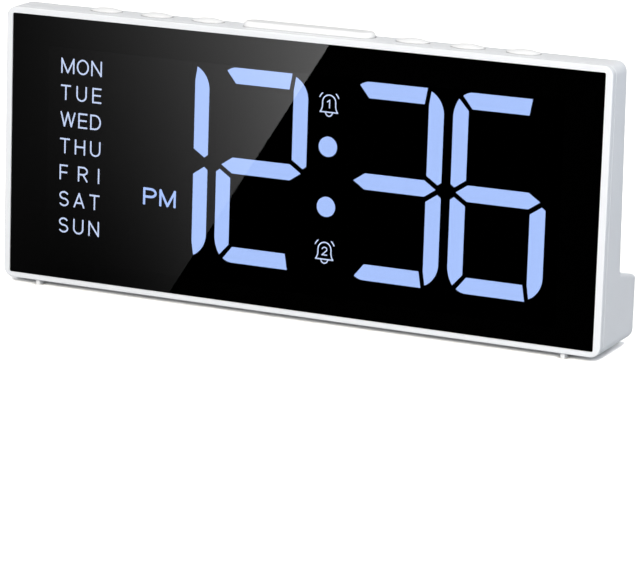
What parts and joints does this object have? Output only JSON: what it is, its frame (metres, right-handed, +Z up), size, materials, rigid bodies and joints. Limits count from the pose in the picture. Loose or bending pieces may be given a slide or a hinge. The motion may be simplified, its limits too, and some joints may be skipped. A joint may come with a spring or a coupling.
{
  "type": "day clock",
  "caption": "Table clock with a wide dark window, large lit digits, a column of weekdays and a row of push buttons along its top.",
  "frame": {"origin": "on the table, under the middle of the clock's bounding box", "axes": "+X to the right of someone who reads the clock, +Y to the back, +Z up"},
  "size_m": [0.26, 0.035, 0.1139],
  "materials": {
    "white_case": "satin",
    "white_button": "satin",
    "smoked_window": "polished",
    "black_film": "smooth",
    "black_plastic": "matt",
    "circuit_board": "satin",
    "chip_package": "matt",
    "chip_black": "matt",
    "tin_plate": "bright",
    "steel_screw": "bright",
    "socket_plastic": "matt",
    "ribbon_white": "satin",
    "foot_rubber": "matt",
    "speaker_paper": "matt",
    "lead_red": "satin",
    "guide_dark": "frosted",
    "guide_lit": "frosted, glows blue-white",
    "plunger_plastic": "matt"
  },
  "bodies": {
    "clock_body": {"alarm_guides": "guide_lit", "am_pm_guides": "guide_lit", "battery_contacts": "tin_plate", "board_screws": "steel_screw", "button_board": "circuit_board", "button_board_screws": "steel_screw", "button_ribbon": "ribbon_white", "case_screws": "steel_screw", "clock_crystal": "tin_plate", "coin_cell": "tin_plate", "colon_dots": "guide_lit", "controller_chip": "chip_black", "dark_segments": "guide_dark", "digit_hour_tens": "guide_lit", "digit_hour_units": "guide_lit", "digit_minute_tens": "guide_lit", "digit_minute_units": "guide_lit", "display_lens": "smoked_window", "display_reflector": "black_plastic", "feet": "foot_rubber", "front_frame": "white_case", "led_board": "circuit_board", "led_chips": "chip_package", "mask_film": "black_film", "power_board": "circuit_board", "power_board_screws": "steel_screw", "power_leads": "lead_red", "rear_housing": "white_case", "ribbon_sockets": "socket_plastic", "speaker_cone": "speaker_paper", "speaker_frame": "chip_black", "speaker_leads": "lead_red", "speaker_magnet": "tin_plate", "tact_switches": "chip_black", "usb_c_socket": "tin_plate", "weekday_guides": "guide_lit"},
    "button_alarm_1_body": {"button_alarm_1": "white_button", "plunger_alarm_1": "plunger_plastic"},
    "button_alarm_2_body": {"button_alarm_2": "white_button", "plunger_alarm_2": "plunger_plastic"},
    "button_set_body": {"button_set": "white_button", "plunger_set": "plunger_plastic"},
    "button_down_body": {"button_down": "white_button", "plunger_down": "plunger_plastic"},
    "button_up_body": {"button_up": "white_button", "plunger_up": "plunger_plastic"},
    "button_dimmer_body": {"button_dimmer": "white_button", "plunger_dimmer": "plunger_plastic"},
    "snooze_body": {"snooze_button": "white_button", "snooze_plungers": "plunger_plastic"},
    "battery_door_body": {"battery_door": "white_case", "battery_door_screw": "steel_screw"}
  },
  "joints": [
    {"name": "button_alarm_1_press", "type": "slide", "parent": "clock_body", "child": "button_alarm_1_body", "axis": [0, 0, -1], "range_m": [0, 0.0006], "stiffness_N_per_m": 1200, "springref_m": -0.0002},
    {"name": "button_alarm_2_press", "type": "slide", "parent": "clock_body", "child": "button_alarm_2_body", "axis": [0, 0, -1], "range_m": [0, 0.0006], "stiffness_N_per_m": 1200, "springref_m": -0.0002},
    {"name": "button_set_press", "type": "slide", "parent": "clock_body", "child": "button_set_body", "axis": [0, 0, -1], "range_m": [0, 0.0006], "stiffness_N_per_m": 1200, "springref_m": -0.0002},
    {"name": "button_down_press", "type": "slide", "parent": "clock_body", "child": "button_down_body", "axis": [0, 0, -1], "range_m": [0, 0.0006], "stiffness_N_per_m": 1200, "springref_m": -0.0002},
    {"name": "button_up_press", "type": "slide", "parent": "clock_body", "child": "button_up_body", "axis": [0, 0, -1], "range_m": [0, 0.0006], "stiffness_N_per_m": 1200, "springref_m": -0.0002},
    {"name": "button_dimmer_press", "type": "slide", "parent": "clock_body", "child": "button_dimmer_body", "axis": [0, 0, -1], "range_m": [0, 0.0006], "stiffness_N_per_m": 1200, "springref_m": -0.0002},
    {"name": "snooze_press", "type": "slide", "parent": "clock_body", "child": "snooze_body", "axis": [0, 0, -1], "range_m": [0, 0.0006], "stiffness_N_per_m": 1200, "springref_m": -0.0002},
    {"name": "battery_door_lift_off", "type": "slide", "parent": "clock_body", "child": "battery_door_body", "axis": [0, 0.9999, -0.014], "range_m": [0, 0.018]}
  ]
}
